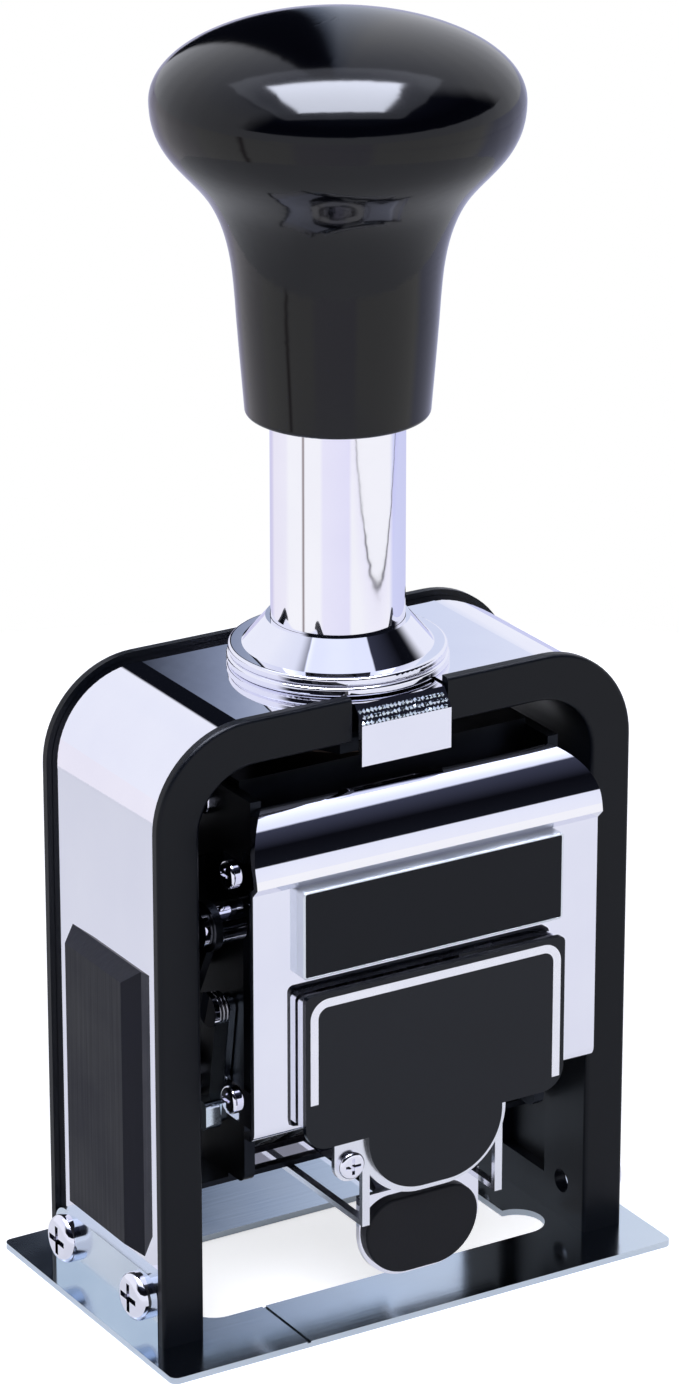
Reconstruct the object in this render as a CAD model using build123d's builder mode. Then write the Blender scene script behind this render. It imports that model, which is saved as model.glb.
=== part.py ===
from build123d import *
import os
from math import cos, pi, radians, sin

# ---------------------------------------------------------------------------
# Self-inking numbering machine. Millimetres, +Z up, -Y is the front.
# Origin: on the table, under the plunger's axis.
# ---------------------------------------------------------------------------

# Base plate
base_margin = 2.8            # base beyond the frame's legs
base_depth = 42.0
base_sheet = 0.8
window_room = 0.6            # side plates to the window's edges
window_front = 10.4
window_back = 9.4
window_lobe = 3.4            # radius of the relief at the window's front corners
guide_line_x = -16.6
guide_line_width = 0.5
guide_line_depth = 0.2
ear_height = 9.0
ear_round = 2.5

# Frame: an arch with a channel around its outside
frame_room = 1.4             # pad cradle to the frame's legs
frame_depth = 27.8
frame_top = 77.4
rail = 5.5                   # thickness of legs and top
arch_corner = 12.0
inner_corner = 7.5
flange = 1.3                 # thickness of the front and back flanges
flange_stand = 0.75          # how far they stand out of the chrome band
edge_round = 0.5
shoe_channel_width = 10.0
shoe_channel_depth = 1.6
shoe_channel_bottom = 5.5
shoe_channel_top = 62.0

# Chrome band and side grips
band_sheet = 0.6
grip_width = 16.4
grip_bottom = 10.3
grip_top = 46.8
grip_thickness = 1.9
grip_bevel = 38.0            # degrees

# Plunger, collar and knob
stroke = 18.0
tube_radius = 7.9
tube_wall = 1.5
tube_bottom = 63.0
tube_top = 112.0
collar_height = 4.35         # above the ring
collar_flange_radius = 12.9
collar_flange = 1.1
collar_cone_radius = 11.3
collar_top_radius = 8.5
ring_radius = 13.1
ring_thickness = 1.2
shank_radius = 9.6
nut_thickness = 2.4
nut_across = 12.5            # corner radius
knob_bottom = 107.0
knob_neck_radius = 10.8
knob_flare = ((11.7, 12.0), (12.85, 21.0), (15.2, 26.2), (19.6, 31.3))   # radius and height up the knob
knob_radius = 21.4
knob_wide_height = 37.0
knob_height = 46.6
knob_rim = 0.6
stud_radius = 3.0
stud_length = 14.0
plug_length = 6.0
key_radius = 1.7
key_length = 18.5
buffer_thickness = 0.6
buffer_radius = 10.0
seat_thickness = 0.8

# Return spring
spring_radius = 5.2          # to the wire's centre
spring_wire = 1.2
spring_turns = 7.5

# Wheel case
side_room = 4.5              # wheels to the side plates
side_sheet = 1.4
side_front = 13.5
side_back = 10.4
side_bottom = 19.2
side_top = 68.0
side_corner = 1.5
side_step = 61.5             # above it the side plates stand back behind the hood
bridge_bottom = 61.5
bridge_pin_radius = 1.25
bridge_pin_length = 22.0
bridge_pin_z = 66.0
bridge_ledge = 1.0           # the tube stands on it
case_screw_length = 5.0
case_screw_y = 5.0
case_screw_z = 65.0
rear_screw_x = 14.0
tie_radius = 1.5
tie_tenon = 1.0
tie_places = ((-8.5, 47.0), (8.0, 52.0))
shoe_bottom = 44.0
shoe_top = 58.0
rear_sheet = 0.8
rear_bottom = 40.0

# Number wheels
wheel_count = 6
wheel_radius = 11.0          # to the type face
wheel_pitch = 5.0
wheel_thickness = 3.4
type_height = 0.9
type_width = 4.6
type_rows = 10
ratchet_radius = 8.2
ratchet_thickness = 1.3
ratchet_depth = 1.2
shaft_radius = 2.5
shaft_end = 0.3              # shaft beyond its clips
bush_radius = 4.0
type_margin = 0.3            # type blocks stand back from the wheel's faces
clip_radius = 3.6
clip_thickness = 0.8
paper_gap = 0.1              # a sheet of paper, at the bottom of the stroke

# Feed swing and pawls
feed_radius = 14.0           # wheel shaft to pawl rod
feed_rest = -20.0            # degrees above the horizontal, behind the wheels
feed_arm = 1.2
feed_arm_width = 6.0
feed_bar = 1.2
pawl_rod_radius = 1.2
pawl_sleeve_radius = 2.2
pawl_clearance = 0.35
pawl_angle = -5.0            # where its tips stand, from the wheel shaft
pawl_width = 1.6
finger_thickness = 1.0
detent_bar = 2.0
detent_leaf = 0.6
detent_place = (7.0, 44.0)
detent_tip = (4.7, 37.0)

# Front cover, hood and name plate
cover_wing = 2.55            # cover beyond the side plates
cover_sheet = 0.8
cover_front = 20.2
cover_bottom = 27.6
opening_room = 1.0           # wheels to the cover's opening, at each side
cover_opening_top = 45.4
hood_front = 21.3
hood_back = 15.4             # where the rolled sheet ends
hood_bottom = 59.8
hood_top = 67.6
hood_roll = 8.6              # radius of the sheet's roll
hood_round = 6.2             # upper corners, seen from the front
tab_end = 10.6               # how far back the cover's tabs reach
cover_screw_y = 12.2
foot_bend = 1.5
foot_depth = 2.4             # small folds under the cover's side strips
opening_round = 1.5
tab_length = 4.6
upper_tab = 56.0
lower_tab = 27.6
plate_width = 35.4
plate_bottom = 47.6
plate_top = 58.5
plate_sheet = 1.6
plate_round = 0.5

# Pad cradle, bracket, shield and cassette
cradle_pivot = (-12.0, 52.5)
pivot_room = 3.4             # side plates to the cradle's arms
arm_bends = ((-7.6, 44.0), (-5.0, 36.0), (-2.4, 20.0))
cheek_height = 3.2
back_wall = 0.5
stud_head = 0.9
stud_head_radius = 2.4
stud_thread_radius = 1.2
cradle_sheet = 1.0
arm_width = 4.0
pivot_boss = 3.0
pivot_radius = 1.5
sleeve_radius = 2.5
pad_gap = 0.3                # type face to pad
pad_thickness = 1.4
cassette_wall = 0.7
pad_room = 2.0               # wheels to the cassette's ends
cassette_depth = 7.4
cradle_floor = 0.7
cradle_depth = 8.6
bracket_sheet = 0.7
prong_width = 1.0
prong_inner = 8.7
backing_gap = 0.3            # bracket's backing plate to the cover
backing_low = 29.0
backing_high = 45.2
ear_width = 4.2              # around each shield screw
shield_width = 35.5
shield_top = 45.6
shield_bottom = 26.0
shield_sheet = 0.7
shield_back = 21.6
shield_corner = 3.0
shield_top_corner = 0.8
tongue_width = 18.4
tongue_bottom = 18.0
tongue_round = 7.5
lip = 0.9                    # bracket showing below the tongue
trim_width = 1.05
trim_inset = 0.6
trim_depth = 0.25
trim_stand = 0.05
trim_left_bottom = 31.9
trim_right_bottom = 27.7
handle_width = 16.6
handle_bottom = 5.0
handle_sheet = 0.7
handle_back = 17.9
handle_round = 6.4
neck_width = 12.0
cassette_rim = 0.4           # pad above the tray's rim
grip_inset = 0.55
grip_band = 1.0              # bare metal above the tab's grip
handle_grip = 0.9
grip_shoulder = 4.0

# Repeat lever
lever_pivot = (-10.5, 41.2)
lever_foot = (-8.3, 27.0)
lever_sheet = 0.8
lever_width = 3.0
lever_stand = 0.2            # side plate to lever
lever_screw_radius = 1.1
lever_head = 0.6
lever_head_radius = 2.1
lever_finger = 2.0           # finger piece beyond the lever's sheet
finger_height = 3.6
coil_radius = 1.7            # to the wire's centre
coil_wire = 0.45
coil_turns = 2.4

# Latch
latch_width = 12.1
latch_front = 15.4
latch_sheet = 0.8
latch_bottom = 69.4
latch_bevel_bottom = 74.4
latch_bevel_top = 76.5
latch_bevel_depth = 1.6
latch_bar_width = 9.0
latch_bar = 1.6
latch_bar_bottom = 72.9
latch_pin_radius = 1.0
latch_length = 3.8           # front face to the bar's end
latch_reach = 9.75           # how near the axis the pin's tip rests
lock_depth = 6.0             # how far the plunger is down where the latch holds it
notch_width = 13.0

# Screws (cross-head)
base_screw_y = 8.8
base_screw_z = 5.8
base_screw_radius = 1.5
base_screw_recess = 0.8      # screw end to the rail's inner face
base_head_radius = 3.0
base_head = 1.9
small_screw_radius = 1.0
small_head_radius = 1.7
small_head = 0.8
shield_screw_x = 11.4
shield_screw_z = 22.8
shield_screw_head = 1.7
cross_length = 0.6          # shares of a screw head's radius and height
cross_width = 0.23
head_round = 0.6
cross_depth = 0.55
bead_round = 0.35           # share of a bead's thickness that its edges are rounded by
edge_match = 0.01
base_corner = 1.0
knob_draft = (0.08, 1)
quarter_pull = 0.5523        # handle length that makes a Bezier curve a quarter of an ellipse

# Clearances
running = 0.05
slip = 0.1
clear = 0.3
overcut = 1.0               # how far a cut runs past the face it opens

# Worked out from the sizes above
stack_start = -wheel_count * wheel_pitch / 2
stack_end = -stack_start
case_half = stack_end + side_room
case_width = 2 * case_half
side_out = case_half + side_sheet
cradle_half = side_out + pivot_room + cradle_sheet
frame_width = 2 * (cradle_half + frame_room + rail)
base_width = frame_width + 2 * base_margin
window_width = 2 * (side_out + window_room)
cover_width = 2 * (side_out + cover_wing)
cover_opening_width = 2 * (stack_end + opening_room)
hood_axis = (hood_roll - hood_front, hood_top - hood_roll)   # of the roll
hood_lip = hood_axis[0] - (hood_roll ** 2 - (hood_bottom - hood_axis[1]) ** 2) ** 0.5
hood_joggle = hood_bottom - hood_front + cover_front      # where the sheet starts to step forward
cassette_width = 2 * (stack_end + pad_room)
half_depth = frame_depth / 2
inner_x = frame_width / 2 - rail
inner_top = frame_top - rail
band_out = frame_width / 2 - flange_stand
web_out = band_out - band_sheet
band_top = frame_top - flange_stand
web_top = band_top - band_sheet
ring_top = band_top + ring_thickness
flange_top = ring_top + collar_flange
collar_top = ring_top + collar_height
nut_bottom = inner_top - nut_thickness
tube_bore = tube_radius - tube_wall
wheel_z = stroke + paper_gap + wheel_radius
bridge_top = nut_bottom - buffer_thickness - 2 * slip
shoe_width = shoe_channel_width - 2 * slip
key_z = (inner_top + web_top) / 2
spring_bottom = key_z + key_radius
plug_bottom = tube_top - plug_length
pad_top = wheel_z - wheel_radius - pad_gap
pad_bottom = pad_top - pad_thickness
cassette_bottom = pad_bottom - cassette_wall
cradle_top = cassette_bottom - slip / 2
cradle_bottom = cradle_top - cradle_floor
bracket_bottom = cradle_bottom - bracket_sheet
bracket_front = shield_back
handle_top = cassette_bottom + handle_sheet
latch_bar_back = latch_front - latch_length
latch_pin_z = latch_bar_bottom + latch_bar / 2
pawl_pivot = (feed_radius * cos(radians(feed_rest)), wheel_z + feed_radius * sin(radians(feed_rest)))

case_screw_planes = [Plane((side * side_out, y, case_screw_z), z_dir=(side, 0, 0))
                     for side in (-1, 1) for y in (-case_screw_y, case_screw_y)]
rear_screw_planes = [Plane((x, side_back + rear_sheet, case_screw_z), z_dir=(0, 1, 0))
                     for x in (-rear_screw_x, rear_screw_x)]
cover_screw_planes = [Plane((side * (side_out + cover_sheet), -cover_screw_y, z + tab_length / 2),
                            z_dir=(side, 0, 0)) for side in (-1, 1) for z in (lower_tab, upper_tab)]

os.makedirs("parts", exist_ok=True)


# ---------------------------------------------------------------------------
# Helpers
# ---------------------------------------------------------------------------

def save(name, label):
    """Label a finished piece and write it."""
    name.part.label = label
    export_step(name.part, f"parts/{label}.step")


def front(y):
    """The upright plane at -y in front of the axis; its normal points to the front."""
    return Plane.XZ.offset(y)


def arch(width, top, corner):
    """An upright rectangle from the base sheet to a height, its two upper corners rounded."""
    with BuildSketch(mode=Mode.PRIVATE) as outline:
        with Locations((0, base_sheet)):
            Rectangle(width, top - base_sheet, align=(Align.CENTER, Align.MIN))
        fillet(outline.vertices().group_by(Axis.Y)[-1], corner)
    return outline.sketch


def link(start, end, width):
    """A bar with round ends between two points of the current sketch."""
    middle = ((start[0] + end[0]) / 2, (start[1] + end[1]) / 2)
    SlotCenterPoint(middle, end, width)


def pan_screw(head_radius, head, shank_radius, shank):
    """A cross-head pan screw along +Z: its head stands on Z = 0 and its shank hangs below."""
    with BuildPart(mode=Mode.PRIVATE) as screw:
        Cylinder(head_radius, head, align=(Align.CENTER, Align.CENTER, Align.MIN))
        fillet(screw.edges().group_by(Axis.Z)[-1], head * head_round)
        with BuildSketch(Plane.XY.offset(head)):
            Rectangle(2 * head_radius * cross_length, head_radius * cross_width)
            Rectangle(head_radius * cross_width, 2 * head_radius * cross_length)
        extrude(amount=-head * cross_depth, mode=Mode.SUBTRACT)
        Cylinder(shank_radius, shank, align=(Align.CENTER, Align.CENTER, Align.MAX))
    return screw.part


def along_x(x, side=1):
    """A plane at x whose normal points outwards on the given side; local x is +-Y, local y is Z."""
    return Plane((x, 0, 0), x_dir=(0, side, 0), z_dir=(side, 0, 0))


# ---------------------------------------------------------------------------
# Frame, base and collar: these stand still
# ---------------------------------------------------------------------------

with BuildPart() as frame:
    with BuildSketch(front(half_depth)):
        add(arch(frame_width, frame_top, arch_corner))
        add(arch(2 * inner_x, inner_top, inner_corner), mode=Mode.SUBTRACT)
    extrude(amount=-frame_depth)
    for face in (frame.faces().sort_by(Axis.Y)[0], frame.faces().sort_by(Axis.Y)[-1]):
        fillet(face.edges().filter_by(lambda e: e.center().Z > 2 * base_sheet), edge_round)
    with BuildSketch(front(half_depth - flange)):
        with Locations((0, frame_top / 2)):
            Rectangle(frame_width * 2, frame_top * 2)
        add(arch(2 * web_out, web_top, arch_corner - frame_width / 2 + web_out), mode=Mode.SUBTRACT)
    extrude(amount=-(frame_depth - 2 * flange), mode=Mode.SUBTRACT)
    with Locations((0, 0, shoe_channel_bottom)):
        Box(2 * (inner_x + shoe_channel_depth), shoe_channel_width, shoe_channel_top - shoe_channel_bottom,
            align=(Align.CENTER, Align.CENTER, Align.MIN), mode=Mode.SUBTRACT)
    with Locations((0, 0, inner_top - overcut)):
        Cylinder(shank_radius, rail + 2 * overcut,
                 align=(Align.CENTER, Align.CENTER, Align.MIN), mode=Mode.SUBTRACT)
    with Locations((0, 0, key_z)):
        Cylinder(key_radius, frame_depth, rotation=(-90, 0, 0),
                 align=(Align.CENTER, Align.CENTER, Align.MIN), mode=Mode.SUBTRACT)
    with BuildSketch(front(half_depth)):
        with Locations((0, inner_top - overcut)):
            Rectangle(notch_width, rail + 2 * overcut, align=(Align.CENTER, Align.MIN))
    extrude(amount=-(flange + 2 * slip), mode=Mode.SUBTRACT)
    with BuildSketch(front(half_depth)):
        with Locations((0, latch_pin_z - latch_pin_radius - slip)):
            Rectangle(notch_width, rail, align=(Align.CENTER, Align.MIN))
    extrude(amount=-(half_depth - shank_radius + slip), mode=Mode.SUBTRACT)
    with Locations((0, 0, band_top)):
        Cylinder(ring_radius + slip, rail, align=(Align.CENTER, Align.CENTER, Align.MIN), mode=Mode.SUBTRACT)
    with Locations(*[Plane((0, y, base_screw_z), z_dir=(1, 0, 0)) for y in (-base_screw_y, base_screw_y)]):
        Cylinder(base_screw_radius, 2 * frame_width, mode=Mode.SUBTRACT)
save(frame, "frame")

with BuildPart() as chrome_band:
    with BuildSketch(front(half_depth - flange - slip)):
        add(arch(2 * band_out, band_top, arch_corner - flange_stand))
        add(arch(2 * web_out, web_top, arch_corner - flange_stand - band_sheet), mode=Mode.SUBTRACT)
    extrude(amount=-(frame_depth - 2 * (flange + slip)))
    with Locations((0, 0, web_top - overcut)):
        Cylinder(shank_radius + slip, band_sheet + 2, align=(Align.CENTER, Align.CENTER, Align.MIN),
                 mode=Mode.SUBTRACT)
    with Locations((0, -half_depth, web_top)):
        Box(notch_width, half_depth - shank_radius, 2 * band_sheet,
            align=(Align.CENTER, Align.MIN, Align.CENTER), mode=Mode.SUBTRACT)
    with Locations(*[Plane((0, y, base_screw_z), z_dir=(1, 0, 0)) for y in (-base_screw_y, base_screw_y)]):
        Cylinder(base_screw_radius + slip, 2 * frame_width, mode=Mode.SUBTRACT)
save(chrome_band, "chrome_band")

with BuildPart() as side_grips:
    for side in (-1, 1):
        with BuildPart(mode=Mode.PRIVATE) as grip:
            with BuildSketch(along_x(side * band_out, side)):
                with Locations((0, grip_bottom)):
                    Rectangle(grip_width, grip_top - grip_bottom, align=(Align.CENTER, Align.MIN))
            extrude(amount=grip_thickness, taper=grip_bevel)
        add(grip.part)
save(side_grips, "side_grips")

with BuildPart() as base_plate:
    with BuildSketch():
        RectangleRounded(base_width, base_depth, base_corner)
        with Locations((0, (window_back - window_front) / 2)):
            Rectangle(window_width, window_back + window_front, mode=Mode.SUBTRACT)
        with Locations(*[(side * window_width / 2, window_lobe - window_front) for side in (-1, 1)]):
            Circle(window_lobe, mode=Mode.SUBTRACT)
    extrude(amount=base_sheet)
    with Locations((guide_line_x, -base_depth / 2, base_sheet)):
        Box(guide_line_width, base_depth / 2 - window_front, 2 * guide_line_depth,
            align=(Align.CENTER, Align.MIN, Align.CENTER), mode=Mode.SUBTRACT)
    for side in (-1, 1):
        with BuildSketch(along_x(side * band_out, side)):
            Rectangle(frame_depth - 2 * (flange + slip), ear_height, align=(Align.CENTER, Align.MIN))
            fillet(vertices().group_by(Axis.Y)[-1], ear_round)
            with Locations((-base_screw_y, base_screw_z), (base_screw_y, base_screw_z)):
                Circle(base_screw_radius + slip, mode=Mode.SUBTRACT)
        extrude(amount=base_sheet)
save(base_plate, "base_plate")

base_screw = pan_screw(base_head_radius, base_head, base_screw_radius,
                       base_sheet + band_out - inner_x - base_screw_recess)
ear_out = band_out + base_sheet
with BuildPart() as base_screws:
    with Locations(*[Plane((side * ear_out, y, base_screw_z), z_dir=(side, 0, 0))
                     for side in (-1, 1) for y in (-base_screw_y, base_screw_y)]):
        add(base_screw)
save(base_screws, "base_screws")

with BuildPart() as collar_ring:
    with Locations((0, 0, band_top)):
        Cylinder(ring_radius, ring_thickness, align=(Align.CENTER, Align.CENTER, Align.MIN))
        Hole(shank_radius + running)
    fillet(collar_ring.edges().filter_by(GeomType.CIRCLE).sort_by(SortBy.RADIUS)[-2:],
           ring_thickness * bead_round)
save(collar_ring, "collar_ring")

with BuildPart() as collar:
    with BuildSketch(Plane.XZ):
        with BuildLine():
            Polyline((tube_radius + running, nut_bottom - slip), (shank_radius, nut_bottom - slip),
                     (shank_radius, ring_top), (collar_flange_radius, ring_top),
                     (collar_flange_radius, flange_top), (collar_cone_radius, flange_top),
                     (collar_top_radius, collar_top), (tube_radius + running, collar_top), close=True)
        make_face()
    revolve(axis=Axis.Z)
    fillet(collar.edges().filter_by(GeomType.CIRCLE).filter_by(
        lambda e: abs(e.radius - collar_flange_radius) < edge_match), collar_flange * bead_round)
    with Locations((0, 0, key_z)):
        Cylinder(key_radius, frame_depth, rotation=(-90, 0, 0),
                 align=(Align.CENTER, Align.CENTER, Align.MIN), mode=Mode.SUBTRACT)
    with Locations((0, 0, latch_pin_z)):
        Cylinder(latch_pin_radius + slip, frame_depth, rotation=(90, 0, 0),
                 align=(Align.CENTER, Align.CENTER, Align.MIN), mode=Mode.SUBTRACT)
save(collar, "collar")

with BuildPart() as collar_nut:
    with BuildSketch(Plane.XY.offset(nut_bottom)):
        RegularPolygon(nut_across, 6)
        Circle(shank_radius, mode=Mode.SUBTRACT)
    extrude(amount=nut_thickness)
save(collar_nut, "collar_nut")

with BuildPart() as spring_key:
    with Locations((0, half_depth - slip, key_z)):
        Cylinder(key_radius, key_length, rotation=(90, 0, 0), align=(Align.CENTER, Align.CENTER, Align.MIN))
    chamfer(spring_key.edges().filter_by(GeomType.CIRCLE), clear)
save(spring_key, "spring_key")

with BuildPart() as spring_seat:
    with Locations((0, 0, spring_bottom)):
        Cylinder(tube_bore - slip, seat_thickness, align=(Align.CENTER, Align.CENTER, Align.MIN))
        Hole(stud_radius)
save(spring_seat, "spring_seat")


# ---------------------------------------------------------------------------
# Latch: pushed in from the front
# ---------------------------------------------------------------------------

with BuildPart() as latch:
    with BuildSketch(Plane.YZ):
        with BuildLine():
            Polyline((-latch_front, latch_bottom), (-latch_front, latch_bevel_bottom),
                     (-latch_front + latch_bevel_depth, latch_bevel_top), (-latch_bar_back, latch_bevel_top),
                     (-latch_bar_back, latch_bevel_top - latch_sheet),
                     (-latch_front + latch_bevel_depth + latch_sheet / 2, latch_bevel_top - latch_sheet),
                     (-latch_front + latch_sheet, latch_bevel_bottom - latch_sheet / 2),
                     (-latch_front + latch_sheet, latch_bottom), close=True)
        make_face()
    extrude(amount=latch_width / 2, both=True)
    with Locations((0, -latch_front + latch_sheet, latch_bar_bottom)):
        Box(latch_bar_width, latch_front - latch_sheet - latch_bar_back, latch_bar,
            align=(Align.CENTER, Align.MIN, Align.MIN))
    with Locations((0, -latch_bar_back - slip, latch_pin_z)):
        Cylinder(latch_pin_radius, latch_bar_back + slip - latch_reach, rotation=(-90, 0, 0),
                 align=(Align.CENTER, Align.CENTER, Align.MIN))
save(latch, "latch")


# ---------------------------------------------------------------------------
# Plunger: knob, tube and spring
# ---------------------------------------------------------------------------

with BuildPart() as knob:
    with BuildSketch(Plane.XZ):
        with BuildLine():
            neck = Line((knob_neck_radius - knob_rim, knob_bottom), (0, knob_bottom))
            rim = RadiusArc((knob_neck_radius - knob_rim, knob_bottom),
                            (knob_neck_radius, knob_bottom + knob_rim), -knob_rim)
            flare = Spline(
                (knob_neck_radius, knob_bottom + knob_rim),
                *[(radius, knob_bottom + height) for radius, height in knob_flare],
                (knob_radius, knob_bottom + knob_wide_height),
                tangents=(knob_draft, (0, 1)))
            dome_pull = quarter_pull * (knob_height - knob_wide_height)
            dome = Bezier((knob_radius, knob_bottom + knob_wide_height),
                          (knob_radius, knob_bottom + knob_wide_height + dome_pull),
                          (quarter_pull * knob_radius, knob_bottom + knob_height),
                          (0, knob_bottom + knob_height))
            Line((0, knob_bottom + knob_height), (0, knob_bottom))
        make_face()
    revolve(axis=Axis.Z)
    with Locations((0, 0, knob_bottom)):
        Cylinder(tube_radius, tube_top - knob_bottom, align=(Align.CENTER, Align.CENTER, Align.MIN),
                 mode=Mode.SUBTRACT)
        Cylinder(stud_radius, tube_top - knob_bottom + stud_length, mode=Mode.SUBTRACT,
                 align=(Align.CENTER, Align.CENTER, Align.MIN))
save(knob, "knob")

with BuildPart() as plunger_tube:
    with Locations((0, 0, tube_bottom)):
        Cylinder(tube_radius, tube_top - tube_bottom, align=(Align.CENTER, Align.CENTER, Align.MIN))
        Cylinder(tube_bore, tube_top - tube_bottom, align=(Align.CENTER, Align.CENTER, Align.MIN),
                 mode=Mode.SUBTRACT)
    with BuildSketch(Plane.XZ):
        with Locations((0, key_z + stroke / 2)):
            SlotOverall(stroke + 2 * (key_radius + clear), 2 * (key_radius + slip), rotation=90)
    extrude(amount=-2 * tube_radius, mode=Mode.SUBTRACT)
    with Locations((0, 0, latch_pin_z + lock_depth)):
        Cylinder(latch_pin_radius + slip, 2 * tube_radius, rotation=(90, 0, 0),
                 align=(Align.CENTER, Align.CENTER, Align.MIN), mode=Mode.SUBTRACT)
    with Locations(Plane((0, 0, bridge_pin_z), z_dir=(1, 0, 0))):
        Cylinder(bridge_pin_radius, 3 * tube_radius, mode=Mode.SUBTRACT)
save(plunger_tube, "plunger_tube")

with BuildPart() as tube_plug:
    with Locations((0, 0, plug_bottom)):
        Cylinder(tube_bore, plug_length, align=(Align.CENTER, Align.CENTER, Align.MIN))
        Cylinder(stud_radius, plug_length + stud_length - clear,
                 align=(Align.CENTER, Align.CENTER, Align.MIN))
save(tube_plug, "tube_plug")

spring_start = spring_bottom + seat_thickness + spring_wire / 2
spring_length = plug_bottom - spring_wire / 2 - spring_start
with BuildPart() as main_spring:
    with BuildLine() as coil:
        Helix(spring_length / spring_turns, spring_length, spring_radius, center=(0, 0, spring_start))
    with BuildSketch(Plane(origin=coil.line @ 0, z_dir=coil.line % 0)):
        Circle(spring_wire / 2 - slip / 4)
    sweep(is_frenet=True)
save(main_spring, "main_spring")


# ---------------------------------------------------------------------------
# Wheel case: rides on the plunger
# ---------------------------------------------------------------------------

with BuildPart() as bridge:
    with Locations((0, 0, bridge_bottom)):
        Box(case_width, 2 * side_back, bridge_top - bridge_bottom,
            align=(Align.CENTER, Align.CENTER, Align.MIN))
    with Locations((0, 0, tube_bottom)):
        Cylinder(tube_radius, bridge_top, align=(Align.CENTER, Align.CENTER, Align.MIN), mode=Mode.SUBTRACT)
    Cylinder(tube_bore - bridge_ledge, 2 * bridge_top, mode=Mode.SUBTRACT)
    with Locations(Plane((0, 0, bridge_pin_z), z_dir=(1, 0, 0))):
        Cylinder(bridge_pin_radius, bridge_pin_length, mode=Mode.SUBTRACT)
    with Locations(*case_screw_planes):
        Cylinder(small_screw_radius, case_screw_length, align=(Align.CENTER, Align.CENTER, Align.MAX),
                 mode=Mode.SUBTRACT)
    with Locations(*rear_screw_planes):
        Cylinder(small_screw_radius, case_screw_length, align=(Align.CENTER, Align.CENTER, Align.MAX),
                 mode=Mode.SUBTRACT)
save(bridge, "bridge")

with BuildPart() as bridge_pin:
    with Locations(Plane((0, 0, bridge_pin_z), z_dir=(1, 0, 0))):
        Cylinder(bridge_pin_radius, bridge_pin_length)
save(bridge_pin, "bridge_pin")

case_screw = pan_screw(small_head_radius, small_head, small_screw_radius, case_screw_length)
with BuildPart() as case_screws:
    with Locations(*case_screw_planes, *rear_screw_planes):
        add(case_screw)
save(case_screws, "case_screws")

with BuildPart() as buffer_washer:
    with Locations((0, 0, bridge_top)):
        Cylinder(buffer_radius, buffer_thickness, align=(Align.CENTER, Align.CENTER, Align.MIN))
        Hole(tube_radius)
save(buffer_washer, "buffer_washer")


def side_plate(side):
    """A side of the wheel case with the holes for all that it carries."""
    with BuildPart(mode=Mode.PRIVATE) as plate:
        with BuildSketch(Plane.YZ.offset(side * case_half)):
            with BuildLine():
                Polyline((-side_front, side_bottom), (side_back, side_bottom), (side_back, side_top),
                         (-hood_back + slip, side_top), (-hood_back + slip, side_step),
                         (-side_front, side_step), close=True)
            make_face()
            fillet(vertices().group_by(Axis.Y)[0], side_corner)
            with Locations((0, wheel_z)):
                Circle(shaft_radius, mode=Mode.SUBTRACT)
            with Locations(*tie_places):
                Circle(tie_tenon, mode=Mode.SUBTRACT)
            with Locations(cradle_pivot):
                Circle(stud_thread_radius, mode=Mode.SUBTRACT)
            if side < 0:
                with Locations(lever_pivot):
                    Circle(lever_screw_radius, mode=Mode.SUBTRACT)
        extrude(amount=side * side_sheet)
        with Locations(*case_screw_planes, *cover_screw_planes):
            Cylinder(small_screw_radius, case_screw_length, align=(Align.CENTER, Align.CENTER, Align.MAX),
                     mode=Mode.SUBTRACT)
    return plate.part


with BuildPart() as side_plate_left:
    add(side_plate(-1))
save(side_plate_left, "side_plate_left")

with BuildPart() as side_plate_right:
    add(side_plate(1))
save(side_plate_right, "side_plate_right")

with BuildPart() as guide_shoes:
    for side in (-1, 1):
        with BuildSketch(Plane.YZ.offset(side * side_out)):
            with Locations((0, (shoe_bottom + shoe_top) / 2)):
                RectangleRounded(shoe_width, shoe_top - shoe_bottom, clear)
        extrude(amount=side * (inner_x + shoe_channel_depth - clear - side_out))
save(guide_shoes, "guide_shoes")

with BuildPart() as tie_bars:
    for place in tie_places:
        for radius, length in ((tie_radius, case_width), (tie_tenon, 2 * side_out)):
            with BuildSketch(Plane.YZ.offset(-length / 2)):
                with Locations(place):
                    Circle(radius)
            extrude(amount=length)
save(tie_bars, "tie_bars")

with BuildPart() as rear_cover:
    with BuildSketch(front(-side_back)):
        with Locations((0, (rear_bottom + side_top) / 2)):
            RectangleRounded(2 * side_out, side_top - rear_bottom, side_corner)
    extrude(amount=-rear_sheet)
    with Locations(*rear_screw_planes):
        Cylinder(small_screw_radius, case_screw_length, mode=Mode.SUBTRACT)
save(rear_cover, "rear_cover")


def hood_sheet():
    """The cover's upper end: stepped forward, rolled back over the case and cut round at its corners."""
    with BuildPart(mode=Mode.PRIVATE) as hood:
        with BuildSketch(Plane.YZ.offset(-cover_width / 2)):
            with Locations(hood_axis):
                Circle(hood_roll)
                Circle(hood_roll - cover_sheet, mode=Mode.SUBTRACT)
            with Locations((-hood_back, hood_bottom)):
                Rectangle(hood_front - hood_back + overcut, hood_roll, align=(Align.MAX, Align.MIN),
                          mode=Mode.INTERSECT)
            with BuildLine():
                Polyline((-cover_front, hood_joggle), (hood_lip, hood_bottom),
                         (hood_lip, hood_bottom + edge_match),
                         (hood_lip + cover_sheet, hood_bottom + edge_match),
                         (hood_lip + cover_sheet, hood_bottom),
                         (-cover_front + cover_sheet, hood_joggle), close=True)
            make_face()
        extrude(amount=cover_width)
        with BuildSketch(front(hood_front + overcut)):
            with Locations((0, hood_joggle)):
                Rectangle(cover_width, hood_top - hood_joggle, align=(Align.CENTER, Align.MIN))
            fillet(vertices().group_by(Axis.Y)[-1], hood_round)
        extrude(amount=hood_back - hood_front - 2 * overcut, mode=Mode.INTERSECT)
    return hood.part


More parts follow.
